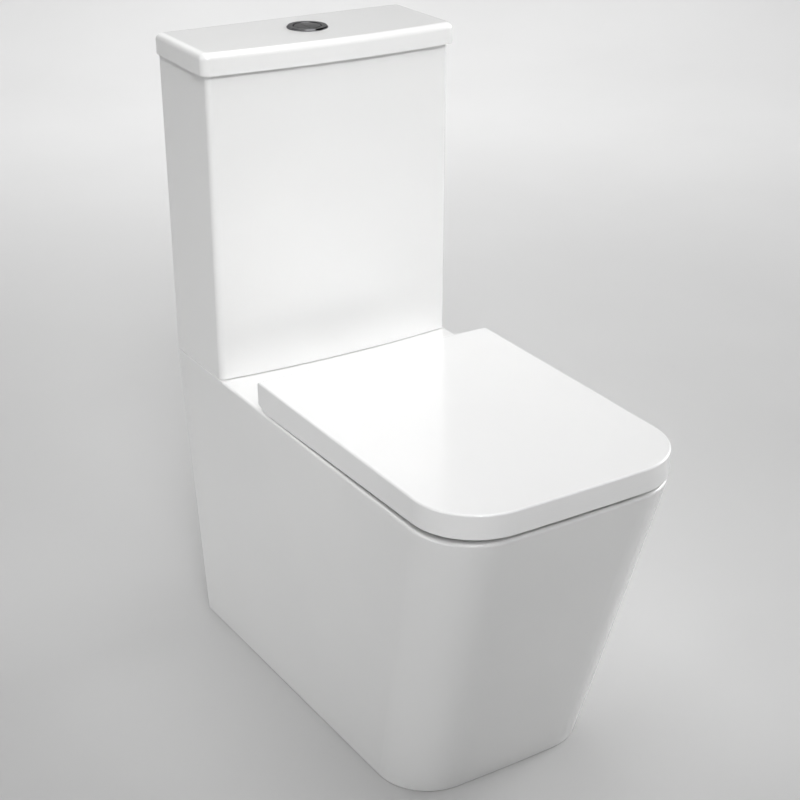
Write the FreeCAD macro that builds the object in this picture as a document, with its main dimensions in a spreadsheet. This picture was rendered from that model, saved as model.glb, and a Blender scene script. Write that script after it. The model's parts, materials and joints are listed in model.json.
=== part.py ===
"""Close coupled toilet: back-to-wall pan, bowed cistern, dual flush button, wrap-over seat and lid.

Frame: millimetres, +Z up, +X to the right of someone facing the toilet, the front faces -Y and the
wall plane is on the +Y side. The origin is on the floor at the middle of the whole object's footprint.
Distances called "out" are measured forwards from the wall plane.
"""
import FreeCAD, Part
import math
import os

import Sketcher

Vector = FreeCAD.Vector

# Driving dimensions. Every one becomes a cell of the spreadsheet, under the same name.
DIMENSIONS = {
    # whole object
    "overall_depth": 646.0,
    "china_wall": 11.0,
    # pan, outside
    "deck_height": 400.0,
    "deck_thick": 20.0,
    "deck_rear_half": 165.7,
    "deck_front_half": 163.1,
    "deck_depth": 642.0,
    "deck_bow_radius": 3800.0,
    "deck_corner": 77.0,
    "deck_edge_round": 3.0,
    "deck_seam_round": 1.5,
    "foot_rear_half": 146.0,
    "foot_front_half": 138.6,
    "foot_depth": 521.5,
    "foot_bow_radius": 2640.0,
    "foot_corner": 70.0,
    "foot_edge_round": 2.5,
    # bowl and trap
    "bowl_out": 437.0,
    "bowl_half_width": 114.0,
    "bowl_half_length": 158.0,
    "trap_bore": 28.0,
    "outlet_height": 180.0,
    "outlet_radius": 51.0,
    "outlet_bore": 41.0,
    "outlet_start": 72.0,
    # cistern
    "tank_gap": 1.0,
    "tank_rear_half": 165.4,
    "tank_front_half": 164.4,
    "tank_foot_depth": 131.0,
    "tank_top_depth": 136.5,
    "tank_bow_radius": 1520.0,
    "tank_corner": 8.0,
    "tank_top": 783.5,
    "tank_wall": 9.0,
    "tank_floor": 12.0,
    # cistern lid
    "cover_rear_half": 168.5,
    "cover_front_half": 170.6,
    "cover_depth": 142.5,
    "cover_corner": 11.0,
    "cover_top": 810.0,
    "cover_edge_round": 8.0,
    "cover_thick": 9.0,
    # flush line
    "valve_out": 67.0,
    "button_radius": 25.3,
    "button_hole": 20.5,
    "button_travel": 5.0,
    "inlet_x": -112.0,
    "bolt_x": 75.0,
    # seat and lid
    "lid_rear_out": 221.0,
    "lid_rear_half": 163.3,
    "lid_front_half": 161.4,
    "lid_tip_out": 646.0,
    "lid_bow_radius": 5500.0,
    "lid_corner": 78.0,
    "lid_top": 436.5,
    "lid_skin": 7.0,
    "lid_skirt": 5.0,
    "lid_front_gap": 8.0,
    "lid_rear_gap": 1.2,
    "seat_bottom": 404.0,
    "seat_top": 425.0,
    "seat_hole_half": 104.0,
    "seat_hole_length": 148.0,
    "hinge_out": 231.0,
    "hinge_height": 418.0,
    "hinge_x": 77.5,
    "pin_radius": 4.0,
}


class Length:
    """A length that remembers the spreadsheet formula it came from."""

    def __init__(self, value, formula):
        self.value = float(value)
        self.formula = formula

    def __add__(self, other):
        other = as_length(other)
        return Length(self.value + other.value, f"({self.formula} + {other.formula})")

    def __sub__(self, other):
        other = as_length(other)
        return Length(self.value - other.value, f"({self.formula} - {other.formula})")

    def __mul__(self, other):
        other = as_length(other)
        return Length(self.value * other.value, f"({self.formula} * {other.formula})")

    def __truediv__(self, other):
        other = as_length(other)
        return Length(self.value / other.value, f"({self.formula} / {other.formula})")

    def __radd__(self, other):
        return as_length(other) + self

    def __rsub__(self, other):
        return as_length(other) - self

    def __rmul__(self, other):
        return as_length(other) * self


def as_length(number):
    """Lets a plain number stand beside Lengths in a formula."""
    if isinstance(number, Length):
        return number
    return Length(number, f"{number:.6f}")


class Sizes:
    """The spreadsheet of driving dimensions, read as size.NAME."""

    def __init__(self, document, table):
        sheet = document.addObject("Spreadsheet::Sheet", "sizes")
        for row, (name, value) in enumerate(table.items(), start=1):
            sheet.set(f"A{row}", name.replace("_", " "))
            sheet.set(f"B{row}", str(value))
            sheet.setAlias(f"B{row}", name)
        document.recompute()
        for name in table:
            setattr(self, name, Length(getattr(sheet, name), f"sizes.{name}"))


doc = FreeCAD.newDocument("toilet")
size = Sizes(doc, DIMENSIONS)
wall_y = size.overall_depth / 2
finished = []


def out(distance):
    """The Y coordinate of a point that stands this far forwards of the wall."""
    return wall_y - distance


def bind(thing, prop, length):
    """Sets a property from a Length, through the spreadsheet where it has a formula."""
    length = as_length(length)
    thing.setExpression(prop, length.formula)


def name_piece(thing, label):
    """Marks a finished sub-part: its label is the name of its file."""
    thing.Label = label
    finished.append(thing)
    return thing


def place(thing, x=0.0, y=0.0, z=0.0):
    """Puts an object at a position given in Lengths or numbers."""
    for axis, length in (("x", x), ("y", y), ("z", z)):
        bind(thing, f".Placement.Base.{axis}", length)
    return thing


# ---------------------------------------------------------------- solids and booleans

def box(x_range, y_range, z_range):
    """A block between two corners."""
    block = doc.addObject("Part::Box", "block")
    for prop, (low, high) in (("Length", x_range), ("Width", y_range), ("Height", z_range)):
        bind(block, prop, as_length(high) - low)
    return place(block, x_range[0], y_range[0], z_range[0])


def rod(radius, x, y, z_range):
    """An upright round bar."""
    bar = doc.addObject("Part::Cylinder", "rod")
    bind(bar, "Radius", radius)
    bind(bar, "Height", as_length(z_range[1]) - z_range[0])
    return place(bar, x, y, z_range[0])


def rod_along_x(radius, x_range, y, z):
    """A round bar that lies from left to right."""
    bar = doc.addObject("Part::Cylinder", "rod")
    bar.Placement = FreeCAD.Placement(Vector(), FreeCAD.Rotation(Vector(0, 1, 0), 90))
    bind(bar, "Radius", radius)
    bind(bar, "Height", as_length(x_range[1]) - x_range[0])
    return place(bar, x_range[0], y, z)


def rod_along_y(radius, x, y_range, z):
    """A round bar that lies from front to back."""
    bar = doc.addObject("Part::Cylinder", "rod")
    bar.Placement = FreeCAD.Placement(Vector(), FreeCAD.Rotation(Vector(1, 0, 0), -90))
    bind(bar, "Radius", radius)
    bind(bar, "Height", as_length(y_range[1]) - y_range[0])
    return place(bar, x, y_range[0], z)


def hexagon(radius, x, y, z_range):
    """A hexagonal nut blank or bolt head; the radius reaches its corners."""
    blank = doc.addObject("Part::Prism", "hexagon")
    blank.Polygon = 6
    bind(blank, "Circumradius", radius)
    bind(blank, "Height", as_length(z_range[1]) - z_range[0])
    return place(blank, x, y, z_range[0])


def fuse(*shapes):
    """One solid out of several that touch."""
    joined = doc.addObject("Part::MultiFuse", "joined")
    joined.Shapes = list(shapes)
    joined.Refine = True
    return joined


def cut(base, *tools):
    """The base with each tool taken out of it."""
    for tool in tools:
        left = doc.addObject("Part::Cut", "trimmed")
        left.Base = base
        left.Tool = tool
        base = left
    return base


def common(first, second):
    """What two solids share."""
    shared = doc.addObject("Part::Common", "shared")
    shared.Base = first
    shared.Tool = second
    return shared


def mirrored(shape):
    """The shape's left-right reflection."""
    twin = doc.addObject("Part::Mirroring", "twin")
    twin.Source = shape
    twin.Normal = Vector(1, 0, 0)
    return twin


def group(*shapes):
    """Separate solids kept together, such as a set of identical fasteners."""
    set_of = doc.addObject("Part::Compound", "set")
    set_of.Links = list(shapes)
    return set_of


def pair(shape):
    """A piece and its mirror image on the other side of the toilet."""
    return group(shape, mirrored(shape))


def round_edges(base, *rounds):
    """Fillets a solid: each round is a radius and a function that accepts the edges it is for."""
    doc.recompute()
    soft = doc.addObject("Part::Fillet", "soft")
    soft.Base = base
    soft.Edges = [
        (number, as_length(radius).value, as_length(radius).value)
        for radius, picks in rounds
        for number, edge in enumerate(base.Shape.Edges, start=1)
        if picks(edge)
    ]
    return soft


def at_height(height):
    """Picks the edges that lie level at one height."""
    level = height.value

    def picks(edge):
        box_of = edge.BoundBox
        return abs(box_of.ZMin - level) < 0.01 and abs(box_of.ZMax - level) < 0.01

    return picks


# ---------------------------------------------------------------- sketches

def origin_plane(body, role):
    """One of a body's own origin planes."""
    return next(f for f in body.Origin.OriginFeatures if f.Role == role)


def new_sketch(body, name, role, lift=None):
    """A sketch on one of the body's origin planes, raised off it by a Length."""
    sketch = body.newObject("Sketcher::SketchObject", name)
    sketch.AttachmentSupport = (origin_plane(body, role), [""])
    sketch.MapMode = "FlatFace"
    if lift is not None:
        bind(sketch, ".AttachmentOffset.Base.z", lift)
    return sketch


def fix(sketch, length, kind, *where):
    """Adds one dimension to a sketch and binds it to its formula."""
    length = as_length(length)
    index = sketch.addConstraint(Sketcher.Constraint(kind, *where, length.value))
    sketch.setExpression(f"Constraints[{index}]", length.formula)


def polygon_sketch(body, name, role, points, lift=None):
    """A closed outline of straight lines through the points, each held by its two coordinates."""
    sketch = new_sketch(body, name, role, lift)
    points = [(as_length(a), as_length(b)) for a, b in points]
    count = len(points)
    for i, (a, b) in enumerate(points):
        c, d = points[(i + 1) % count]
        sketch.addGeometry(Part.LineSegment(Vector(a.value, b.value, 0), Vector(c.value, d.value, 0)))
    for i in range(count):
        sketch.addConstraint(Sketcher.Constraint("Coincident", i, 2, (i + 1) % count, 1))
    for i, (a, b) in enumerate(points):
        fix(sketch, a, "DistanceX", -1, 1, i, 1)
        fix(sketch, b, "DistanceY", -1, 1, i, 1)
    return sketch


def bowed_outline(body, name, height, rear_half, front_half, rear_y, tip_y, bow, corner):
    """A plan outline: straight back, straight sides, round front corners and a bowed front.

    front_half is the half width where the corners begin, tip_y is the foremost point.
    """
    sketch = new_sketch(body, name, "XY_Plane", height)
    rear_half, front_half, corner = as_length(rear_half), as_length(front_half), as_length(corner)
    bow_centre = Vector(0, tip_y.value + bow.value, 0)
    rear = Vector(rear_half.value, rear_y.value, 0)
    guess = Vector(front_half.value, tip_y.value + corner.value, 0)
    along = (guess - rear).normalize()
    inward = Vector(along.y, -along.x, 0)
    if inward.x > 0:
        inward = inward * -1
    start = rear + inward * corner.value - bow_centre
    half_sum = start.dot(along)
    rest = start.dot(start) - (bow.value - corner.value) ** 2
    run = -half_sum + math.sqrt(half_sum ** 2 - rest)
    centre = rear + along * run + inward * corner.value
    side_end = rear + along * run
    outward = (centre - bow_centre).normalize()
    bow_end = bow_centre + outward * bow.value

    def flip(point):
        return Vector(-point.x, point.y, 0)

    def arc(middle, radius, first, last):
        angles = [math.atan2(p.y - middle.y, p.x - middle.x) % (2 * math.pi) for p in (first, last)]
        circle = Part.Circle(middle, Vector(0, 0, 1), radius)
        return sketch.addGeometry(Part.ArcOfCircle(circle, *angles))

    back = sketch.addGeometry(Part.LineSegment(flip(rear), rear))
    right = sketch.addGeometry(Part.LineSegment(rear, side_end))
    right_corner = arc(centre, corner.value, bow_end, side_end)
    front = arc(bow_centre, bow.value, flip(bow_end), bow_end)
    left_corner = arc(flip(centre), corner.value, flip(side_end), flip(bow_end))
    left = sketch.addGeometry(Part.LineSegment(flip(side_end), flip(rear)))
    links = [
        ("Coincident", back, 2, right, 1),
        ("Tangent", right, 2, right_corner, 2),
        ("Tangent", right_corner, 1, front, 2),
        ("Tangent", front, 1, left_corner, 2),
        ("Tangent", left_corner, 1, left, 1),
        ("Coincident", left, 2, back, 1),
        ("Symmetric", back, 1, back, 2, -2),
        ("Symmetric", right, 2, left, 1, -2),
        ("PointOnObject", front, 3, -2),
    ]
    for link in links:
        sketch.addConstraint(Sketcher.Constraint(*link))
    fix(sketch, 2 * rear_half, "DistanceX", back, 1, back, 2)
    fix(sketch, rear_y, "DistanceY", -1, 1, back, 1)
    fix(sketch, 2 * front_half, "DistanceX", left, 1, right, 2)
    fix(sketch, corner, "Radius", right_corner)
    fix(sketch, bow, "Radius", front)
    fix(sketch, tip_y + bow, "DistanceY", -1, 1, front, 3)
    return sketch


def round_rectangle(body, name, height, centre_y, half_width, half_length, corner):
    """A plan outline with four equal round corners, centred left to right."""
    sketch = new_sketch(body, name, "XY_Plane", height)
    centre_y, half_width = as_length(centre_y), as_length(half_width)
    half_length, corner = as_length(half_length), as_length(corner)
    flat_x = (half_width - corner).value
    flat_y = (half_length - corner).value
    middle = centre_y.value
    wide, deep, radius = half_width.value, half_length.value, corner.value
    lines = [
        (Vector(-flat_x, middle - deep, 0), Vector(flat_x, middle - deep, 0)),
        (Vector(wide, middle - flat_y, 0), Vector(wide, middle + flat_y, 0)),
        (Vector(flat_x, middle + deep, 0), Vector(-flat_x, middle + deep, 0)),
        (Vector(-wide, middle + flat_y, 0), Vector(-wide, middle - flat_y, 0)),
    ]
    centres = [
        Vector(flat_x, middle - flat_y, 0),
        Vector(flat_x, middle + flat_y, 0),
        Vector(-flat_x, middle + flat_y, 0),
        Vector(-flat_x, middle - flat_y, 0),
    ]
    for quarter, (line, centre) in enumerate(zip(lines, centres)):
        sketch.addGeometry(Part.LineSegment(*line))
        first = math.radians(-90 + 90 * quarter)
        circle = Part.Circle(centre, Vector(0, 0, 1), radius)
        sketch.addGeometry(Part.ArcOfCircle(circle, first, first + math.pi / 2))
    for quarter in range(4):
        line, arc_after, next_line = 2 * quarter, 2 * quarter + 1, (2 * quarter + 2) % 8
        sketch.addConstraint(Sketcher.Constraint("Tangent", line, 2, arc_after, 1))
        sketch.addConstraint(Sketcher.Constraint("Tangent", arc_after, 2, next_line, 1))
    for link in [("Vertical", 2), ("Horizontal", 4), ("Vertical", 6), ("Symmetric", 0, 1, 0, 2, -2),
                 ("Equal", 1, 3), ("Equal", 3, 5), ("Equal", 5, 7)]:
        sketch.addConstraint(Sketcher.Constraint(*link))
    fix(sketch, corner, "Radius", 1)
    fix(sketch, half_width, "DistanceX", -1, 1, 2, 1)
    fix(sketch, centre_y - half_length, "DistanceY", -1, 1, 0, 1)
    fix(sketch, centre_y + half_length, "DistanceY", -1, 1, 4, 1)
    return sketch


# ---------------------------------------------------------------- bodies

def new_body(name):
    return doc.addObject("PartDesign::Body", name)


def loft(body, sketches, ruled, cutting=False):
    """Joins sketches of the same make-up into a solid, or cuts that solid away."""
    kind = "PartDesign::SubtractiveLoft" if cutting else "PartDesign::AdditiveLoft"
    feature = body.newObject(kind, "loft")
    feature.Profile = sketches[0]
    feature.Sections = sketches[1:]
    feature.Ruled = ruled
    return feature


def turned(points, x=0.0, y=0.0, name="turned"):
    """A turned piece: a half section of (radius, height) points spun about an upright axis."""
    body = new_body(name)
    sketch = polygon_sketch(body, "half_section", "XZ_Plane", points)
    spin = body.newObject("PartDesign::Revolution", "spin")
    spin.Profile = sketch
    spin.ReferenceAxis = (sketch, ["V_Axis"])
    spin.Angle = 360
    return place(body, x, y)


def ring(outer, inner, z_range, x=0.0, y=0.0):
    """A plain washer or tube."""
    low, high = z_range
    return turned([(inner, low), (outer, low), (outer, high), (inner, high)], x, y)


def side_profile(points, x_range):
    """A side view outline of (y, z) points, given thickness from left to right."""
    body = new_body("side_view")
    sketch = polygon_sketch(body, "side_view", "YZ_Plane", points, x_range[0])
    pad = body.newObject("PartDesign::Pad", "thickness")
    pad.Profile = sketch
    bind(pad, "Length", as_length(x_range[1]) - x_range[0])
    return body


def straight(outline, length):
    """Gives a plan outline a constant section upwards."""
    body = outline.getParentGeoFeatureGroup()
    pad = body.newObject("PartDesign::Pad", "height")
    pad.Profile = outline
    bind(pad, "Length", length)
    return body


def bent_rod(points, bend, radius):
    """A round rod along straight runs in the middle plane, joined by arcs of one bend radius."""
    corners = [Vector(0, y.value, as_length(z).value) for y, z in points]
    edges = []
    start = corners[0]
    for before, corner, after in zip(corners, corners[1:], corners[2:]):
        arriving = (corner - before).normalize()
        leaving = (after - corner).normalize()
        turn = math.acos(arriving.dot(leaving))
        reach = bend * math.tan(turn / 2)
        arc_start = corner - arriving * reach
        arc_end = corner + leaving * reach
        middle_reach = bend / math.cos(turn / 2) - bend
        arc_middle = corner + (leaving - arriving).normalize() * middle_reach
        edges.append(Part.LineSegment(start, arc_start).toShape())
        edges.append(Part.Arc(arc_start, arc_middle, arc_end).toShape())
        start = arc_end
    edges.append(Part.LineSegment(start, corners[-1]).toShape())
    first_run = corners[1] - corners[0]
    section = Part.Wire(Part.Circle(corners[0], first_run, radius).toShape())
    bent = doc.addObject("Part::Feature", "bent_rod")
    bent.Shape = Part.Wire(edges).makePipeShell([section], True, False)
    return bent


# ---------------------------------------------------------------- heights and places that parts share

past = 1.0  # how far a cutting tool runs past the face it opens
beyond = 400.0  # further from the middle than any part reaches
tank_bottom = size.deck_height + size.tank_gap
tank_floor_top = tank_bottom + size.tank_floor
deck_under = size.deck_height - size.deck_thick
cover_bottom = size.tank_top + 0.5
cover_inside_top = size.cover_top - size.cover_thick
valve_y = out(size.valve_out)
hinge_y = out(size.hinge_out)
bowl_y = out(size.bowl_out)

flush_hole = 33.0
recess_radius = 46.0
recess_floor = size.deck_height - 12.0
bolt_hole = 6.0
bolt_radius = 4.0
tail_hole = 24.0
screw_hole = 5.0
screw_out = 150.0
bowl_rise = 2.0

# flush valve
valve_tail = 30.0
valve_bore = 25.0
flange_top = tank_floor_top + 7.0
seat_lip_top = flange_top + 4.0
tower_top = flange_top + 180.0
lever_z = tower_top + 56.0
lever_front_y = valve_y - 6.0
lever_back_y = valve_y + 6.0
lever_pin = 2.5
push_rod = 2.0
press_x = 12.0
lift_x = 18.0
half_rod = 1.8
half_rod_x = 16.0
lever_half = 4.7
play = 0.3

# fill valve
inlet_tail = 10.4
inlet_shank = 10.6
inlet_bore = 6.0
arm_pin = 2.0
fill_stem_top = flange_top + 270.0
fill_arm_z = fill_stem_top + 33.0
float_travel = 12.0


# ---------------------------------------------------------------- china

def pan_outside():
    """The tapered shroud: its top edge is softer in front of the cistern than beneath it."""
    outlines = new_body("pan_outlines")
    foot = bowed_outline(
        outlines, "foot", 0.0, size.foot_rear_half, size.foot_front_half, wall_y,
        out(size.foot_depth), size.foot_bow_radius, size.foot_corner)
    deck = bowed_outline(
        outlines, "deck", size.deck_height, size.deck_rear_half, size.deck_front_half, wall_y,
        out(size.deck_depth), size.deck_bow_radius, size.deck_corner)
    sharp = doc.addObject("Part::Loft", "sharp")
    sharp.Sections = [foot, deck]
    sharp.Solid = True
    sharp.Ruled = True
    rear = wall_y.value

    def outline_edges(height):
        level = at_height(height)
        return lambda edge: level(edge) and edge.BoundBox.YMin < rear - 0.01

    def rounded(deck_round):
        return round_edges(
            sharp, (deck_round, outline_edges(size.deck_height)),
            (size.foot_edge_round, outline_edges(as_length(0.0))))

    under_tank = box(
        (-beyond, beyond), (out(size.tank_foot_depth - 6.0), wall_y + past),
        (size.deck_height / 2, size.deck_height + past))
    return fuse(rounded(size.deck_edge_round), common(rounded(size.deck_seam_round), under_tank))


def pan_cavity():
    """The hollow inside the shroud, open below and at the wall."""
    body = new_body("pan_cavity")
    wall = size.china_wall
    open_back = wall_y + 5.0
    foot = bowed_outline(
        body, "foot", 0.0, size.foot_rear_half - wall, size.foot_front_half - wall, open_back,
        out(size.foot_depth - wall), size.foot_bow_radius - wall, size.foot_corner - wall)
    deck = bowed_outline(
        body, "deck", size.deck_height, size.deck_rear_half - wall, size.deck_front_half - wall,
        open_back, out(size.deck_depth - wall), size.deck_bow_radius - wall,
        size.deck_corner - wall)
    loft(body, [foot, deck], ruled=True)
    below_deck = box((-beyond, beyond), (-beyond, beyond), (-past, deck_under))
    return common(body, below_deck)


def bowl_form(thickness, top):
    """The bowl as a solid: its inside at thickness 0, its outside with the china's thickness."""
    # height, how far the middle moves back, share of the rim's width and length, corner radius
    sections = [
        (top, 0.0, 1.0, 1.0, 88.0),
        (size.deck_height - 40.0, 0.0, 0.99, 0.99, 87.0),
        (size.deck_height - 100.0, 1.0, 0.91, 0.92, 82.0),
        (size.deck_height - 180.0, 7.0, 0.70, 0.71, 68.0),
        (size.deck_height - 250.0, 19.0, 0.46, 0.42, 46.0),
        (size.deck_height - 302.0 - thickness, 29.0, 0.27, 0.22, 27.0),
    ]
    body = new_body("bowl")
    outlines = []
    for number, (height, back, width_share, length_share, corner) in enumerate(sections):
        outlines.append(round_rectangle(
            body, f"section_{number}", height, bowl_y + back,
            size.bowl_half_width * width_share + thickness,
            size.bowl_half_length * length_share + thickness,
            corner + thickness))
    loft(body, outlines, ruled=False)
    return body


def make_pan():
    """The shroud and the deck, one casting with a hollow that is open below and at the wall."""
    lug_top = 16.0
    lugs = pair(box((108.0, 138.0), (out(screw_out + 25.0), out(screw_out - 25.0)), (0.0, lug_top)))
    through_deck = (deck_under - past, size.deck_height + past)
    hollows = [
        bowl_form(0.0, size.deck_height + bowl_rise),
        rod(flush_hole, 0.0, valve_y, through_deck),
        rod(recess_radius, 0.0, valve_y, (recess_floor, size.deck_height + past)),
        rod(tail_hole, size.inlet_x, valve_y, through_deck),
        pair(rod(bolt_hole, size.bolt_x, valve_y, through_deck)),
        pair(rod(bolt_hole, size.hinge_x, hinge_y, through_deck)),
        pair(rod(screw_hole, 122.0, out(screw_out), (-past, lug_top + past))),
    ]
    name_piece(cut(fuse(cut(pan_outside(), pan_cavity()), lugs), *hollows), "pan")


def make_pan_bowl():
    """The bowl, its trap and its flush duct: a second casting, luted under the deck when wet."""
    trap_route = [
        (out(size.outlet_start), size.outlet_height),
        (out(196.0), size.outlet_height),
        (out(262.0), 236.0),
        (out(322.0), 98.0),
        (out(400.0), 112.0),
    ]
    trap_bend = 44.0
    trap_outside = size.trap_bore.value + 10.0
    spigot_front, neck_front = 132.0, 172.0
    spigot_end = out(size.outlet_start)
    spigot = fuse(
        rod_along_y(size.outlet_radius, 0.0, (out(spigot_front), spigot_end), size.outlet_height),
        place_cone(size.outlet_radius.value, trap_outside + 1.0, spigot_front, neck_front))
    # the duct carries the flush from the cistern's valve forwards into the bowl
    duct_half, duct_wall = 46.0, 8.0
    duct_rear, duct_front, duct_deep = 18.0, 288.0, 48.0
    duct_bottom = deck_under - duct_deep
    duct = box((-duct_half, duct_half), (out(duct_front), out(duct_rear)), (duct_bottom, deck_under))
    duct_way = box(
        (duct_wall - duct_half, duct_half - duct_wall), (out(duct_front + 14.0), out(duct_rear + 9.0)),
        (duct_bottom + 9.0, deck_under + past))
    solid = fuse(
        bowl_form(size.china_wall.value, deck_under), bent_rod(trap_route, trap_bend, trap_outside),
        spigot, duct)
    hollows = [
        bowl_form(0.0, size.deck_height + bowl_rise),
        bent_rod(trap_route, trap_bend, size.trap_bore.value),
        rod_along_y(size.outlet_bore, 0.0, (out(spigot_front - 4.0), spigot_end + past),
                    size.outlet_height),
        duct_way,
    ]
    name_piece(cut(solid, *hollows), "pan_bowl")


def place_cone(wide, narrow, back, front):
    """The tapered neck between the outlet spigot and the trapway."""
    neck = doc.addObject("Part::Cone", "neck")
    neck.Radius1 = wide
    neck.Radius2 = narrow
    neck.Placement = FreeCAD.Placement(Vector(), FreeCAD.Rotation(Vector(1, 0, 0), 90))
    bind(neck, "Height", front - back)
    return place(neck, 0.0, out(back), size.outlet_height)


def make_tank():
    body = new_body("tank")
    wall = size.tank_wall

    def outline(name, height, tip, inset):
        return bowed_outline(
            body, name, height, size.tank_rear_half - inset, size.tank_front_half - inset,
            wall_y - inset, out(tip - inset), size.tank_bow_radius - inset, size.tank_corner)

    loft(body, [
        outline("foot", tank_bottom, size.tank_foot_depth, 0.0),
        outline("top", size.tank_top, size.tank_top_depth, 0.0),
    ], ruled=True)
    loft(body, [
        outline("inner_foot", tank_floor_top, size.tank_foot_depth, wall),
        outline("inner_top", size.tank_top, size.tank_top_depth, wall),
    ], ruled=True, cutting=True)
    through_floor = (tank_bottom - past, tank_floor_top + past)
    wall_hole = rod_along_y(3.5, 100.0, (wall_y - wall - past, wall_y + past), size.tank_top - 48.0)
    name_piece(cut(
        body,
        rod(valve_tail + 0.5, 0.0, valve_y, through_floor),
        rod(inlet_shank + 0.4, size.inlet_x, valve_y, through_floor),
        pair(rod(bolt_hole, size.bolt_x, valve_y, through_floor)),
        pair(wall_hole)), "cistern_tank")


def make_cover():
    """The cistern lid: it rests on the tank's rim and a lip beneath it locates it inside the rim."""
    body = new_body("cover")
    straight(bowed_outline(
        body, "outline", cover_bottom, size.cover_rear_half, size.cover_front_half, wall_y,
        out(size.cover_depth), size.tank_bow_radius, size.cover_corner),
        size.cover_top - cover_bottom)
    top = at_height(size.cover_top)
    soft = round_edges(body, (size.cover_edge_round, top))

    def inside(name, low, high, inset):
        piece = new_body(name)
        half = size.tank_rear_half - size.tank_wall - inset
        return straight(bowed_outline(
            piece, "outline", low, half, size.tank_front_half - size.tank_wall - inset,
            wall_y - size.tank_wall - inset, out(size.tank_top_depth - size.tank_wall - inset),
            size.tank_bow_radius, size.tank_corner), high - low)

    lip_bottom = size.tank_top - 8.0
    lip_play, lip_thick = 2.0, 4.0
    lip = inside("lip", lip_bottom, cover_bottom + past, lip_play)
    hollow = inside("hollow", lip_bottom - past, cover_inside_top, lip_play + lip_thick)
    button_way = rod(size.button_hole, 0.0, valve_y, (cover_bottom, size.cover_top + past))
    name_piece(cut(fuse(soft, lip), hollow, button_way), "cistern_lid")


# ---------------------------------------------------------------- dual flush button

bezel_bore = 17.3
button_disc = 17.0
button_top = size.cover_top + 2.6
button_bottom = size.cover_top - 12.0
split_x = -4.0


def make_bezel():
    rim = size.button_radius
    sleeve = size.button_hole - 0.3
    sleeve_bottom = size.cover_top - 26.0
    bezel_top = size.cover_top + 2.4
    name_piece(turned([
        (bezel_bore, sleeve_bottom),
        (sleeve, sleeve_bottom),
        (sleeve, size.cover_top),
        (rim, size.cover_top),
        (rim, bezel_top - 1.5),
        (rim - 1.6, bezel_top),
        (bezel_bore + 0.8, bezel_top),
        (bezel_bore, bezel_top - 1.0),
    ], 0.0, valve_y), "button_bezel")
    name_piece(ring(29.0, sleeve, (cover_inside_top - 8.0, cover_inside_top), 0.0, valve_y),
               "button_ring_nut")


def button_plate(x_range):
    """One part of the push plate: a slice of a crowned disc with a softly rounded rim."""
    disc = turned([
        (0.0, button_bottom),
        (button_disc, button_bottom),
        (button_disc, button_top - 1.4),
        (button_disc - 1.2, button_top - 0.4),
        (0.0, button_top),
    ], 0.0, valve_y)
    slab = box(x_range, (valve_y - 20.0, valve_y + 20.0), (button_bottom - past, button_top + past))
    return common(disc, slab)


def make_buttons():
    """The full and the half flush button, each with the push rod that hangs beneath it."""
    gap = 0.25
    name_piece(button_plate((split_x + gap, 20.0)), "full_flush_button")
    name_piece(button_plate((-20.0, split_x - gap)), "half_flush_button")
    rod_bottom = lever_z + lever_half + play
    rod_z = (rod_bottom, button_bottom)
    name_piece(rod(push_rod, press_x, lever_front_y, rod_z), "full_push_rod")
    name_piece(rod(push_rod, -press_x, lever_back_y, rod_z), "half_push_rod")


# ---------------------------------------------------------------- flush valve

def make_flush_valve():
    """The fixed parts, from the tail through the cistern floor up to the tower that holds the levers."""
    tail_bottom = tank_bottom - 25.0
    washer_top = tank_floor_top + 3.0
    flange, lip = 42.0, 28.0
    name_piece(ring(flange, valve_tail + 0.2, (tank_floor_top, washer_top), 0.0, valve_y),
               "flush_valve_washer")
    name_piece(turned([
        (valve_bore, tail_bottom),
        (valve_tail, tail_bottom),
        (valve_tail, washer_top),
        (flange, washer_top),
        (flange, flange_top),
        (lip, flange_top),
        (lip, seat_lip_top),
        (valve_bore, seat_lip_top),
    ], 0.0, valve_y), "flush_valve_base")
    nut_range = (tank_bottom - 10.0, tank_bottom)
    nut = hexagon(39.0, 0.0, valve_y, nut_range)
    name_piece(cut(nut, rod(valve_tail, 0.0, valve_y, nut_range)), "flush_valve_nut")
    name_piece(ring(45.6, 39.2, (recess_floor, tank_bottom), 0.0, valve_y), "coupling_gasket")


def make_tower():
    """The cage that guides the valve: windows at its foot, a cap and two ears for the lever pin."""
    outside, inside, cap_hole, cap_under = 37.0, 34.5, 15.0, tower_top - 4.0
    tower = turned([
        (inside, flange_top),
        (outside, flange_top),
        (outside, tower_top),
        (cap_hole, tower_top),
        (cap_hole, cap_under),
        (inside, cap_under),
    ], 0.0, valve_y)
    window, reach = 13.0, 40.0
    window_z = (seat_lip_top, seat_lip_top + 28.0)
    window_across = box((-reach, reach), (valve_y - window, valve_y + window), window_z)
    window_along = box((-window, window), (valve_y - reach, valve_y + reach), window_z)
    ears = [
        box((-7.0, 7.0), (valve_y + low, valve_y + low + 3.0), (tower_top - past, lever_z + 7.0))
        for low in (14.0, -17.0)
    ]
    pin_way = rod_along_y(lever_pin, 0.0, (valve_y - 20.0, valve_y + 20.0), lever_z)
    rod_way = rod(half_rod + 0.6, half_rod_x, lever_back_y, (tower_top - 5.0, tower_top + past))
    name_piece(cut(fuse(tower, *ears), window_across, window_along, pin_way, rod_way),
               "flush_valve_tower")
    name_piece(rod_along_y(lever_pin, 0.0, (valve_y - 18.5, valve_y + 18.5), lever_z), "lever_pin")


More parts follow.
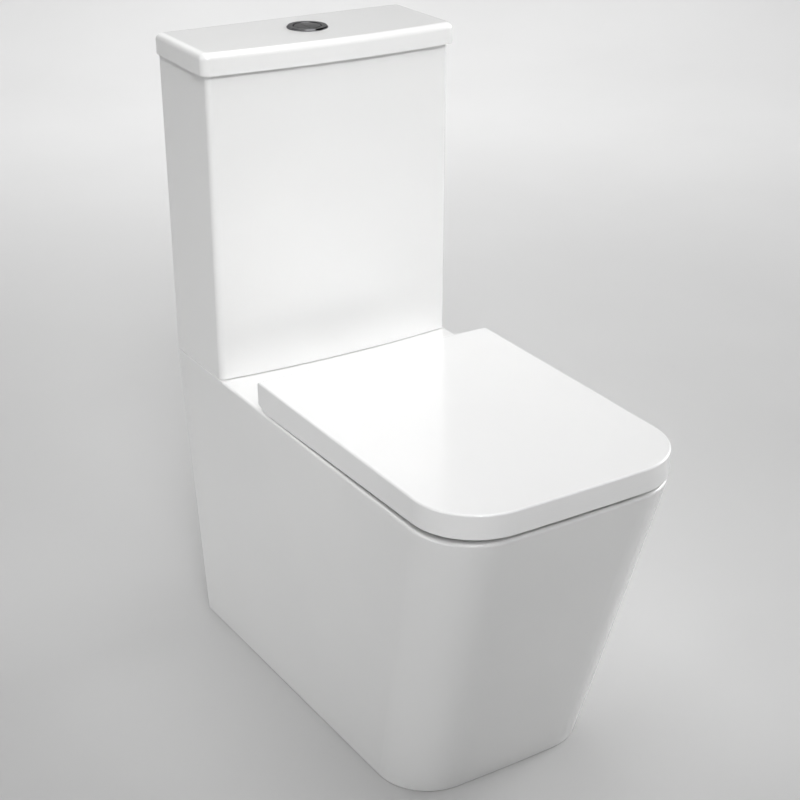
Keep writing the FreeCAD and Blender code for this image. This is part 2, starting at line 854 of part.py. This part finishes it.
def flush_lever(label, y_middle, press_side):
    """A rocking lever: a push rod presses one end down, and the longer end rises."""
    y_range = (y_middle - 2.5, y_middle + 2.5)
    ends = sorted((press_side * 15.0, -press_side * lift_x))
    bar = box(ends, y_range, (lever_z, lever_z + lever_half))
    hub = rod_along_y(lever_half, 0.0, y_range, lever_z)
    name_piece(cut(fuse(bar, hub), rod_along_y(lever_pin + 0.06, 0.0, y_range, lever_z)), label)


def make_levers():
    flush_lever("full_flush_lever", lever_front_y, 1.0)
    flush_lever("half_flush_lever", lever_back_y, -1.0)
    name_piece(rod(half_rod, half_rod_x, lever_back_y, (tower_top - 45.0, lever_z - play)),
               "half_flush_rod")


def make_valve_piston():
    """The parts that lift together: overflow tube with its disc, seal, float and yoke."""
    seal_top = seat_lip_top + 3.0
    disc_top = seal_top + 4.0
    tube_top = tower_top + 28.0
    tube_bore, tube, disc = 11.0, 13.0, 31.0
    name_piece(turned([
        (tube_bore, seal_top),
        (disc, seal_top),
        (disc, disc_top),
        (tube, disc_top),
        (tube, tube_top),
        (tube_bore, tube_top),
    ], 0.0, valve_y), "overflow_tube")
    name_piece(ring(disc, 22.0, (seat_lip_top, seal_top), 0.0, valve_y), "flush_seal")
    float_bottom, float_top, float_radius = flange_top + 62.0, flange_top + 122.0, 32.0
    name_piece(turned([
        (tube, float_bottom),
        (float_radius - 3.0, float_bottom),
        (float_radius, float_bottom + 4.0),
        (float_radius, float_top),
        (tube, float_top),
    ], 0.0, valve_y), "valve_float")
    # the yoke is a frame round the levers: collar on the tube, two legs, a bar above the levers
    half_width, leg = 22.5, 3.0
    collar_z = (tower_top + 20.0, tower_top + 26.0)
    bar_z = (lever_z + lever_half + 0.4, lever_z + 9.1)
    collar = box((-half_width, half_width), (valve_y - 8.0, valve_y + 8.0), collar_z)
    legs = pair(box((half_width - leg, half_width), (valve_y - 8.0, valve_y + 1.0),
                    (collar_z[0], bar_z[1])))
    bar = box((-half_width, half_width), (valve_y - 12.0, valve_y + 1.0), bar_z)
    tube_way = rod(tube, 0.0, valve_y, collar_z)
    push_rod_way = rod(push_rod + 1.0, press_x, lever_front_y, bar_z)
    half_rod_way = rod(half_rod + 0.6, half_rod_x, lever_back_y, collar_z)
    name_piece(cut(fuse(collar, bar, legs), tube_way, push_rod_way, half_rod_way), "lift_yoke")


# ---------------------------------------------------------------- fill valve

def make_fill_valve():
    x = size.inlet_x
    washer_top = tank_floor_top + 2.5
    flange, stem = 17.0, 9.0
    tail_bottom = tank_bottom - 49.0
    shank_bottom = tank_bottom - 13.0
    name_piece(ring(flange, inlet_shank, (tank_floor_top, washer_top), x, valve_y),
               "fill_valve_washer")
    name_piece(turned([
        (inlet_bore, tail_bottom),
        (inlet_tail, tail_bottom),
        (inlet_tail, shank_bottom),
        (inlet_shank, shank_bottom),
        (inlet_shank, washer_top),
        (flange, washer_top),
        (flange, washer_top + 3.5),
        (stem, washer_top + 3.5),
        (stem, fill_stem_top),
        (inlet_bore, fill_stem_top),
    ], x, valve_y), "fill_valve_body")
    nut_range = (tank_bottom - 11.0, tank_bottom)
    nut = hexagon(flange, x, valve_y, nut_range)
    name_piece(cut(nut, rod(inlet_shank, x, valve_y, nut_range)), "fill_valve_nut")
    cap = turned([
        (0.0, fill_stem_top),
        (19.0, fill_stem_top),
        (19.0, fill_stem_top + 8.0),
        (9.0, fill_stem_top + 14.0),
        (9.0, fill_stem_top + 25.0),
        (0.0, fill_stem_top + 25.0),
    ], x, valve_y)
    ears = [
        box((x - 4.0, x + 4.0), (valve_y + low, valve_y + low + 2.5),
            (fill_stem_top + 20.0, fill_arm_z + 4.5))
        for low in (4.0, -6.5)
    ]
    pin_range = (valve_y - 8.0, valve_y + 8.0)
    pin_way = rod_along_y(arm_pin, x, pin_range, fill_arm_z)
    name_piece(cut(fuse(cap, *ears), pin_way), "fill_valve_cap")
    name_piece(rod_along_y(arm_pin, x, pin_range, fill_arm_z), "float_arm_pin")


def make_fill_float():
    """The float cup at its lowest, as in an empty cistern, its link and the arm that shuts the valve."""
    x = size.inlet_x
    link_x = x + 24.0
    cup_top = fill_stem_top - 16.0 - float_travel
    cup_bottom = cup_top - 62.0
    cup_bore, cup_radius = 9.6, 28.0
    name_piece(turned([
        (cup_bore, cup_bottom),
        (cup_radius - 1.0, cup_bottom),
        (cup_radius, cup_bottom + 4.0),
        (cup_radius, cup_top),
        (cup_bore, cup_top),
    ], x, valve_y), "float_cup")
    name_piece(rod(1.6, link_x, valve_y, (cup_top, fill_arm_z - 2.0 - play)), "float_link")
    y_range = (valve_y - 3.5, valve_y + 3.5)
    arm_under = fill_arm_z - 2.0
    bar = box((x, x + 29.0), y_range, (arm_under, fill_arm_z + 2.0))
    hub = rod_along_y(3.8, x, y_range, fill_arm_z)
    name_piece(cut(fuse(bar, hub), rod_along_y(arm_pin + 0.06, x, y_range, fill_arm_z)), "float_arm")


# ---------------------------------------------------------------- cistern fixings

def wing_nut(x, y, top, bore):
    """A wing nut that tightens upwards against a face at the height called top."""
    bottom = top - 10.0
    span = 17.0
    centre = rod(8.0, x, y, (bottom, top))
    wings = box((x - span, x + span), (y - 2.0, y + 2.0), (bottom, top - 3.0))
    return cut(fuse(centre, wings), rod(bore, x, y, (bottom, top)))


def make_cistern_fixings():
    x = size.bolt_x
    cone_top = tank_floor_top + 4.0
    plate_top = cone_top + 2.0
    under_washer = deck_under - 3.0
    name_piece(pair(turned([
        (bolt_radius, tank_floor_top),
        (9.0, tank_floor_top),
        (12.0, cone_top),
        (bolt_radius, cone_top),
    ], x, valve_y)), "cistern_bolt_seals")
    name_piece(pair(ring(13.0, bolt_radius, (cone_top, plate_top), x, valve_y)),
               "cistern_bolt_washers")
    shank = rod(bolt_radius, x, valve_y, (deck_under - 28.0, plate_top))
    head = hexagon(7.5, x, valve_y, (plate_top, plate_top + 5.5))
    name_piece(pair(fuse(shank, head)), "cistern_bolts")
    name_piece(pair(ring(12.0, bolt_radius, (under_washer, deck_under), x, valve_y)),
               "cistern_under_washers")
    name_piece(pair(wing_nut(x, valve_y, under_washer, bolt_radius)), "cistern_wing_nuts")
    name_piece(pair(box((138.0, 154.0), (out(108.0), out(20.0)), (size.deck_height, tank_bottom))),
               "tank_pads")


# ---------------------------------------------------------------- seat, lid and hinges

barrel = 8.5
pin_play = 0.06
seat_rear_out = 254.0
seat_ear_x = (53.0, 68.6)
post_x = (69.2, 85.8)
lid_ear_x = (86.4, 102.0)
seat_inset = size.lid_skirt + 3.5


def make_seat():
    """The seat ring, and the two ears that carry it on the hinge pins."""
    body = new_body("seat")
    straight(bowed_outline(
        body, "outline", size.seat_bottom, size.lid_rear_half - seat_inset,
        size.lid_front_half - seat_inset, out(seat_rear_out), out(size.lid_tip_out - seat_inset),
        size.lid_bow_radius - seat_inset, size.lid_corner - seat_inset),
        size.seat_top - size.seat_bottom)
    hole = new_body("seat_hole")
    straight(round_rectangle(
        hole, "outline", size.seat_bottom - past, bowl_y, size.seat_hole_half,
        size.seat_hole_length, 84.0), size.seat_top - size.seat_bottom + 2 * past)
    ring_plate = cut(body, hole)
    rear = out(seat_rear_out).value
    top = at_height(size.seat_top)
    soft = round_edges(ring_plate, (6.0, lambda edge: top(edge) and edge.BoundBox.YMin < rear - 1))
    ear = fuse(
        rod_along_x(barrel, seat_ear_x, hinge_y, size.hinge_height),
        box(seat_ear_x, (out(seat_rear_out + 4.0), hinge_y),
            (size.hinge_height - barrel, size.hinge_height + 5.0)))
    bore = pair(rod_along_x(size.pin_radius + pin_play, seat_ear_x, hinge_y, size.hinge_height))
    name_piece(cut(fuse(soft, ear, mirrored(ear)), bore), "toilet_seat")


def make_lid():
    """The wrap-over lid: a flat skin with a skirt that hides the seat, cut back for the hinges."""
    body = new_body("lid")
    low = size.deck_height
    straight(bowed_outline(
        body, "outline", low, size.lid_rear_half, size.lid_front_half, out(size.lid_rear_out),
        out(size.lid_tip_out), size.lid_bow_radius, size.lid_corner), size.lid_top - low)
    soft = round_edges(body, (2.5, at_height(size.lid_top)))
    hollow = new_body("lid_hollow")
    skirt = size.lid_skirt
    skin_under = size.lid_top - size.lid_skin
    straight(bowed_outline(
        hollow, "outline", low - past, size.lid_rear_half - skirt, size.lid_front_half - skirt,
        out(size.lid_rear_out + skirt), out(size.lid_tip_out - skirt),
        size.lid_bow_radius - skirt, size.lid_corner - skirt), skin_under - low + past)
    hinge_room = box((-112.0, 112.0), (out(240.0), out(size.lid_rear_out - past)),
                     (low - past, skin_under))
    rear_low = low + size.lid_rear_gap
    front_low = low + size.lid_front_gap
    under = side_profile([
        (out(size.lid_rear_out - past), low - past),
        (out(size.lid_tip_out + past), low - past),
        (out(size.lid_tip_out + past), front_low),
        (out(size.lid_rear_out + 18.0), rear_low),
        (out(size.lid_rear_out - past), low + 8.5),
    ], (-beyond, beyond))
    ear = fuse(
        rod_along_x(barrel, lid_ear_x, hinge_y, size.hinge_height),
        box(lid_ear_x, (hinge_y - barrel, hinge_y + 5.0), (size.hinge_height, skin_under + past)))
    shell = cut(soft, hollow, hinge_room, under)
    bore = pair(rod_along_x(size.pin_radius + pin_play, lid_ear_x, hinge_y, size.hinge_height))
    name_piece(cut(fuse(shell, ear, mirrored(ear)), bore), "toilet_lid")


def make_hinges():
    x = size.hinge_x
    base_top = size.deck_height + 4.0
    foot_radius, foot_bevel = 17.0, 1.5
    foot = turned([
        (0.0, size.deck_height),
        (foot_radius, size.deck_height),
        (foot_radius, base_top - foot_bevel),
        (foot_radius - foot_bevel, base_top),
        (0.0, base_top),
    ], x, hinge_y)
    post = fuse(
        box(post_x, (hinge_y - barrel, hinge_y + barrel), (base_top - past, size.hinge_height)),
        rod_along_x(barrel, post_x, hinge_y, size.hinge_height))
    pin_range = (seat_ear_x[0] + 1.0, lid_ear_x[1] - 1.0)

    def pin():
        return rod_along_x(size.pin_radius, pin_range, hinge_y, size.hinge_height)

    name_piece(pair(cut(fuse(foot, post), pin())), "hinge_posts")
    name_piece(pair(pin()), "hinge_pins")
    nut_top = deck_under - 3.0
    bush_flange, bush_top = 11.0, size.deck_height - 2.0
    name_piece(pair(rod(bolt_radius, x, hinge_y, (deck_under - 24.0, size.deck_height))),
               "hinge_studs")
    name_piece(pair(turned([
        (bolt_radius, nut_top),
        (bush_flange, nut_top),
        (bush_flange, deck_under),
        (bolt_hole, deck_under),
        (bolt_hole, bush_top),
        (bolt_radius, bush_top),
    ], x, hinge_y)), "hinge_bushes")
    name_piece(pair(wing_nut(x, hinge_y, nut_top, bolt_radius)), "hinge_wing_nuts")


def pad_pair(x, distance, half_x, half_y, z_range):
    """Two small rubber pads, left and right, at one distance from the wall."""
    y = out(distance)
    return pair(box((x - half_x, x + half_x), (y - half_y, y + half_y), z_range))


def make_buffers():
    seat_z = (size.deck_height + 0.2, size.seat_bottom)
    lid_z = (size.seat_top + 0.2, size.lid_top - size.lid_skin)
    name_piece(group(pad_pair(130.0, 315.0, 5.0, 13.0, seat_z),
                     pad_pair(82.0, 613.0, 13.0, 5.0, seat_z)), "seat_buffers")
    name_piece(group(pad_pair(130.0, 340.0, 4.0, 8.0, lid_z),
                     pad_pair(80.0, 614.0, 8.0, 4.0, lid_z)), "lid_buffers")


# ---------------------------------------------------------------- build, check and export

def check_document():
    """Stops the build if anything failed, or if a finished piece isn't a sound shape."""
    doc.recompute()
    bad = [o.Label for o in doc.Objects if "Invalid" in o.State or "Error" in o.State]
    if bad:
        raise SystemExit(f"failed objects: {bad}")
    for piece in finished:
        if piece.Shape.isNull() or not piece.Shape.isValid() or not piece.Shape.Solids:
            raise SystemExit(f"not a sound solid: {piece.Label}")


def export():
    os.makedirs("parts", exist_ok=True)
    for piece in finished:
        piece.Shape.exportStep(f"parts/{piece.Label}.step")
        box_of = piece.Shape.optimalBoundingBox()
        spans = [(box_of.XMin, box_of.XMax), (box_of.YMin, box_of.YMax), (box_of.ZMin, box_of.ZMax)]
        extent = "  ".join(f"{low:7.1f}..{high:6.1f}" for low, high in spans)
        volume = piece.Shape.Volume / 1000
        print(f"{piece.Label:24s} solids {len(piece.Shape.Solids)}  {volume:9.2f} cm3  {extent}")


for make in (make_pan, make_pan_bowl, make_tank, make_cover, make_bezel, make_buttons,
             make_flush_valve, make_tower, make_levers, make_valve_piston, make_fill_valve, make_fill_float, make_cistern_fixings,
             make_hinges, make_seat, make_lid, make_buffers):
    make()
check_document()
export()
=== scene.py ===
import json
import math

import bpy
from mathutils import Matrix, Vector


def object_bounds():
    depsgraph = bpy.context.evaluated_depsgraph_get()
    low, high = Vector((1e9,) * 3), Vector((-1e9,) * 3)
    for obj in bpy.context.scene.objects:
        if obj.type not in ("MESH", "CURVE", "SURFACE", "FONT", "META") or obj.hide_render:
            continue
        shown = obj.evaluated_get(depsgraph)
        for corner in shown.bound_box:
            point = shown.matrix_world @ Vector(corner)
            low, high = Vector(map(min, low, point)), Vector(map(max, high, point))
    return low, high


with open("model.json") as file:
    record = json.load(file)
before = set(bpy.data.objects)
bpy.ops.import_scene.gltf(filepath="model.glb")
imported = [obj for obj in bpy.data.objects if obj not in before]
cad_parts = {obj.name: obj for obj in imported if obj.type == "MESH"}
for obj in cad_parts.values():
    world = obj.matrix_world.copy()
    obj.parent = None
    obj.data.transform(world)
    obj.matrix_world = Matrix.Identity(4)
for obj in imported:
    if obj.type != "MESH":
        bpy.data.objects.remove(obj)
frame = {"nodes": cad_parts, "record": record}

cad_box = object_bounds()
nodes = frame["nodes"]


# ---------------------------------------------------------------- materials

# most of a noise lies between these two values
NOISE_LOW, NOISE_HIGH = 0.3, 0.7


class Recipe:
    """A node material under construction: short calls that add a node and join it to the shader."""

    def __init__(self, name):
        self.material = bpy.data.materials.new(name)
        self.material.use_nodes = True
        self.tree = self.material.node_tree
        self.shader = self.tree.nodes["Principled BSDF"]
        self.place = self.add("ShaderNodeTexCoord").outputs["Object"]

    def add(self, kind):
        return self.tree.nodes.new(kind)

    def link(self, source, target):
        self.tree.links.new(source, target)

    def fixed(self, **values):
        """Values that are the same all over the surface, set on the shader's own sockets."""
        for key, value in values.items():
            self.shader.inputs[key.replace("_", " ")].default_value = value

    def noise(self, scale, detail=3.0, stretch=None):
        """A noise of this many cells per metre, from 0 to 1."""
        texture = self.add("ShaderNodeTexNoise")
        texture.inputs["Scale"].default_value = scale
        texture.inputs["Detail"].default_value = detail
        source = self.place
        if stretch:
            mapping = self.add("ShaderNodeMapping")
            mapping.inputs["Scale"].default_value = stretch
            self.link(source, mapping.inputs["Vector"])
            source = mapping.outputs["Vector"]
        self.link(source, texture.inputs["Vector"])
        return texture.outputs["Fac"]

    def between(self, pattern, low, high):
        """Maps a noise onto a range of values."""
        span = self.add("ShaderNodeMapRange")
        span.inputs["From Min"].default_value = NOISE_LOW
        span.inputs["From Max"].default_value = NOISE_HIGH
        span.inputs["To Min"].default_value = low
        span.inputs["To Max"].default_value = high
        self.link(pattern, span.inputs["Value"])
        return span.outputs["Result"]

    def tint(self, pattern, first, second):
        """Colours a noise from one shade to another."""
        ramp = self.add("ShaderNodeValToRGB")
        for stop, place, shade in zip(ramp.color_ramp.elements, (NOISE_LOW, NOISE_HIGH), (first, second)):
            stop.position = place
            stop.color = (*shade, 1.0)
        self.link(pattern, ramp.inputs["Fac"])
        return ramp.outputs["Color"]

    def bump(self, height, distance, strength, under=None):
        """A relief of this depth in metres, on top of another one where it is given."""
        relief = self.add("ShaderNodeBump")
        relief.inputs["Distance"].default_value = distance
        relief.inputs["Strength"].default_value = strength
        self.link(height, relief.inputs["Height"])
        if under:
            self.link(under, relief.inputs["Normal"])
        return relief.outputs["Normal"]

    def set_colour(self, source):
        self.link(source, self.shader.inputs["Base Color"])

    def set_roughness(self, source):
        self.link(source, self.shader.inputs["Roughness"])

    def set_normal(self, source):
        self.link(source, self.shader.inputs["Normal"])


def vitreous_china():
    """White fired clay under a clear glaze: faint colour drift, slow waves and fine ripple in the glaze."""
    recipe = Recipe("vitreous_china")
    recipe.fixed(Coat_Weight=1.0, Coat_Roughness=0.09, Coat_IOR=1.55)
    cloud = recipe.noise(4.0, detail=2.0)
    recipe.set_colour(recipe.tint(cloud, (0.855, 0.857, 0.855), (0.885, 0.885, 0.88)))
    recipe.set_roughness(recipe.between(recipe.noise(60.0), 0.30, 0.38))
    waves = recipe.bump(recipe.noise(9.0, detail=1.0), 0.0006, strength=0.35)
    ripple = recipe.noise(90.0, detail=2.0)
    recipe.set_normal(recipe.bump(ripple, 0.00006, strength=0.5, under=waves))
    recipe.link(waves, recipe.shader.inputs["Coat Normal"])
    return recipe.material


def seat_plastic():
    """White moulded urea, polished, with a trace of orange peel."""
    recipe = Recipe("seat_plastic")
    recipe.fixed(IOR=1.55, Coat_Weight=0.35, Coat_Roughness=0.06)
    cloud = recipe.noise(6.0, detail=2.0)
    recipe.set_colour(recipe.tint(cloud, (0.868, 0.868, 0.868), (0.89, 0.89, 0.888)))
    recipe.set_roughness(recipe.between(recipe.noise(120.0), 0.16, 0.23))
    recipe.set_normal(recipe.bump(recipe.noise(260.0, detail=2.0), 0.00004, strength=0.5))
    return recipe.material


def chrome(name, shade):
    """Chrome plating: rub marks and finger haze in the roughness."""
    recipe = Recipe(name)
    recipe.fixed(Metallic=1.0)
    darker = tuple(channel * 0.9 for channel in shade)
    recipe.set_colour(recipe.tint(recipe.noise(40.0), darker, shade))
    haze = recipe.noise(150.0, detail=4.0, stretch=(1.0, 6.0, 1.0))
    recipe.set_roughness(recipe.between(haze, 0.06, 0.14))
    recipe.set_normal(recipe.bump(recipe.noise(30.0, detail=1.0), 0.0001, strength=0.3))
    return recipe.material


def moulded(name, shade, roughness):
    """Satin moulded plastic with a fine spark-eroded grain."""
    recipe = Recipe(name)
    light = tuple(channel * 1.06 for channel in shade)
    recipe.set_colour(recipe.tint(recipe.noise(25.0), shade, light))
    recipe.set_roughness(recipe.between(recipe.noise(200.0), roughness - 0.06, roughness + 0.06))
    recipe.set_normal(recipe.bump(recipe.noise(500.0, detail=4.0), 0.00008, strength=0.6))
    return recipe.material


def rubber(name, shade, roughness):
    """Moulded rubber: matt, dusty in patches."""
    recipe = Recipe(name)
    recipe.fixed(Specular_IOR_Level=0.35)
    dusty = tuple(channel * 1.3 + 0.01 for channel in shade)
    recipe.set_colour(recipe.tint(recipe.noise(70.0, detail=5.0), shade, dusty))
    recipe.set_roughness(recipe.between(recipe.noise(180.0), roughness - 0.1, roughness + 0.05))
    recipe.set_normal(recipe.bump(recipe.noise(900.0, detail=3.0), 0.00005, strength=0.6))
    return recipe.material


def plain_steel():
    """Turned stainless steel with fine rings of tooling."""
    recipe = Recipe("plain_steel")
    recipe.fixed(Metallic=1.0)
    recipe.set_colour(recipe.tint(recipe.noise(80.0), (0.50, 0.50, 0.51), (0.62, 0.62, 0.63)))
    tooling = recipe.noise(60.0, detail=5.0, stretch=(1.0, 1.0, 30.0))
    recipe.set_roughness(recipe.between(tooling, 0.22, 0.38))
    recipe.set_normal(recipe.bump(tooling, 0.00005, strength=0.5))
    return recipe.material


def dress(slots):
    """Gives every node the material of its slot in the record."""
    slot_of = {row["node"]: row["material_slot"] for row in frame["record"]["subparts"]}
    for name, thing in nodes.items():
        thing.data.materials.clear()
        thing.data.materials.append(slots[slot_of[name]])


dress({
    "china": vitreous_china(),
    "seat_plastic": seat_plastic(),
    # painted reflection: the button chrome gets a near-black shade that stands in for the dark surroundings
    # chrome reflects
    "button_chrome": chrome("button_chrome", (0.115, 0.115, 0.12)),
    "hinge_chrome": chrome("hinge_chrome", (0.66, 0.67, 0.69)),
    "steel": plain_steel(),
    "white_plastic": moulded("white_plastic", (0.78, 0.78, 0.76), 0.42),
    "grey_plastic": moulded("grey_plastic", (0.16, 0.165, 0.175), 0.45),
    "blue_plastic": moulded("blue_plastic", (0.05, 0.16, 0.38), 0.40),
    "black_rubber": rubber("black_rubber", (0.022, 0.022, 0.022), 0.75),
    "clear_rubber": rubber("clear_rubber", (0.62, 0.62, 0.60), 0.55),
})


# ---------------------------------------------------------------- floor, light and camera

WALL_Y = cad_box[1][1]


def make_floor():
    """A round, pale studio floor that sweeps up into a wall on every side."""
    recipe = Recipe("studio_paper")
    recipe.set_colour(recipe.tint(recipe.noise(2.0), (0.62, 0.62, 0.62), (0.64, 0.64, 0.64)))
    recipe.set_roughness(recipe.between(recipe.noise(300.0), 0.85, 0.95))
    wall, bend, height, turns, steps = 5.0, 1.8, 5.0, 96, 16
    profile = [(wall - bend + bend * math.sin(math.pi / 2 * step / steps),
                bend - bend * math.cos(math.pi / 2 * step / steps)) for step in range(steps + 1)]
    profile.append((wall, height))
    angles = [2 * math.pi * turn / turns for turn in range(turns)]
    corners = [(radius * math.cos(angle), radius * math.sin(angle), z)
               for radius, z in profile for angle in angles]
    faces = [tuple(range(turns))]
    for row in range(len(profile) - 1):
        for turn in range(turns):
            here, beside = row * turns + turn, row * turns + (turn + 1) % turns
            faces.append((here, here + turns, beside + turns, beside))
    mesh = bpy.data.meshes.new("studio_floor")
    mesh.from_pydata(corners, [], faces)
    for face in mesh.polygons:
        face.use_smooth = True
    mesh.materials.append(recipe.material)
    floor = bpy.data.objects.new("studio_floor", mesh)
    bpy.context.collection.objects.link(floor)


def area_light(name, place, target, width, spread, power):
    """A square soft box that faces a point. A spread below 180 degrees is a grid on its front."""
    light = bpy.data.lights.new(name, "AREA")
    light.shape = "SQUARE"
    light.size = width
    light.spread = math.radians(spread)
    light.energy = power
    lamp = bpy.data.objects.new(name, light)
    lamp.location = place
    lamp.rotation_euler = (Vector(target) - Vector(place)).to_track_quat("-Z", "Y").to_euler()
    bpy.context.collection.objects.link(lamp)


def towards(round_by, up_by):
    """The direction this many degrees round from the front towards the right, and up."""
    around, above = math.radians(round_by), math.radians(up_by)
    return Vector((math.sin(around) * math.cos(above), -math.cos(around) * math.cos(above), math.sin(above)))


# points on the toilet's middle plane that the boxes face
MIDDLE, CISTERN, SHROUD, RIM = (0.0, 0.0, 0.45), (0.0, 0.19, 0.64), (0.0, 0.0, 0.30), (0.0, 0.0, 0.40)

# name, aim, degrees round from the front towards the right, degrees up, distance, width, spread, watts
TOILET_BOXES = (
    ("overhead", MIDDLE, 0.0, 70.0, 3.2, 2.4, 180.0, 37.5),
    ("top", MIDDLE, 0.0, 90.0, 3.2, 2.4, 180.0, 21.0),
    ("back", MIDDLE, 180.0, 50.0, 3.2, 3.2, 180.0, 23.0),
    ("right", SHROUD, 95.0, 16.0, 3.2, 1.6, 180.0, 9.0),
    ("right_grid", RIM, 85.0, 18.0, 3.2, 1.8, 60.0, 8.0),
    ("cistern", CISTERN, -25.0, 35.0, 2.6, 1.0, 30.0, 2.2),
    ("side", SHROUD, -90.0, 10.0, 2.8, 1.2, 35.0, 1.0),
)

# degrees round from the front towards the right, watts
FLOOR_BOXES = ((115.0, 12.0), (145.0, 21.0), (175.0, 18.0), (-135.0, 4.0), (-60.0, 3.0), (30.0, 3.0))


def make_light():
    """Soft and gridded boxes on the toilet, and boxes that light only the studio floor round it."""
    world = bpy.data.worlds.new("studio")
    world.use_nodes = True
    world.node_tree.nodes["Background"].inputs["Strength"].default_value = 0.0
    bpy.context.scene.world = world
    for name, aim, round_by, up_by, distance, width, spread, power in TOILET_BOXES:
        area_light(name, Vector(aim) + distance * towards(round_by, up_by), aim, width, spread, power)
    box_reach, box_height, aim_reach, width, spread = 2.4, 3.0, 3.8, 2.4, 90.0
    for round_by, power in FLOOR_BOXES:
        outward = towards(round_by, 0.0)
        place = box_reach * outward + Vector((0.0, 0.0, box_height))
        area_light("far", place, aim_reach * outward, width, spread, power)


def make_camera():
    """A long lens that looks down from the front left, as in the photograph."""
    place = Vector((-0.9615, WALL_Y - 1.8642, 1.2571))
    turn, tilt, roll = math.radians(34.19), math.radians(25.16), math.radians(0.88)
    lens = bpy.data.cameras.new("camera")
    lens.sensor_width = 36.0
    lens.lens = 75.25
    lens.shift_x = -0.0984
    lens.shift_y = 0.009
    forward = Vector((math.sin(turn) * math.cos(tilt), math.cos(turn) * math.cos(tilt), -math.sin(tilt)))
    level_right = forward.cross(Vector((0.0, 0.0, 1.0))).normalized()
    level_up = level_right.cross(forward)
    right = level_right * math.cos(roll) + level_up * math.sin(roll)
    up = level_up * math.cos(roll) - level_right * math.sin(roll)
    camera = bpy.data.objects.new("camera", lens)
    rotation = Matrix((right, up, -forward)).transposed().to_4x4()
    camera.matrix_world = Matrix.Translation(place) @ rotation
    bpy.context.collection.objects.link(camera)
    bpy.context.scene.camera = camera


make_camera()
make_floor()
make_light()
bpy.context.scene.view_settings.view_transform = "Standard"
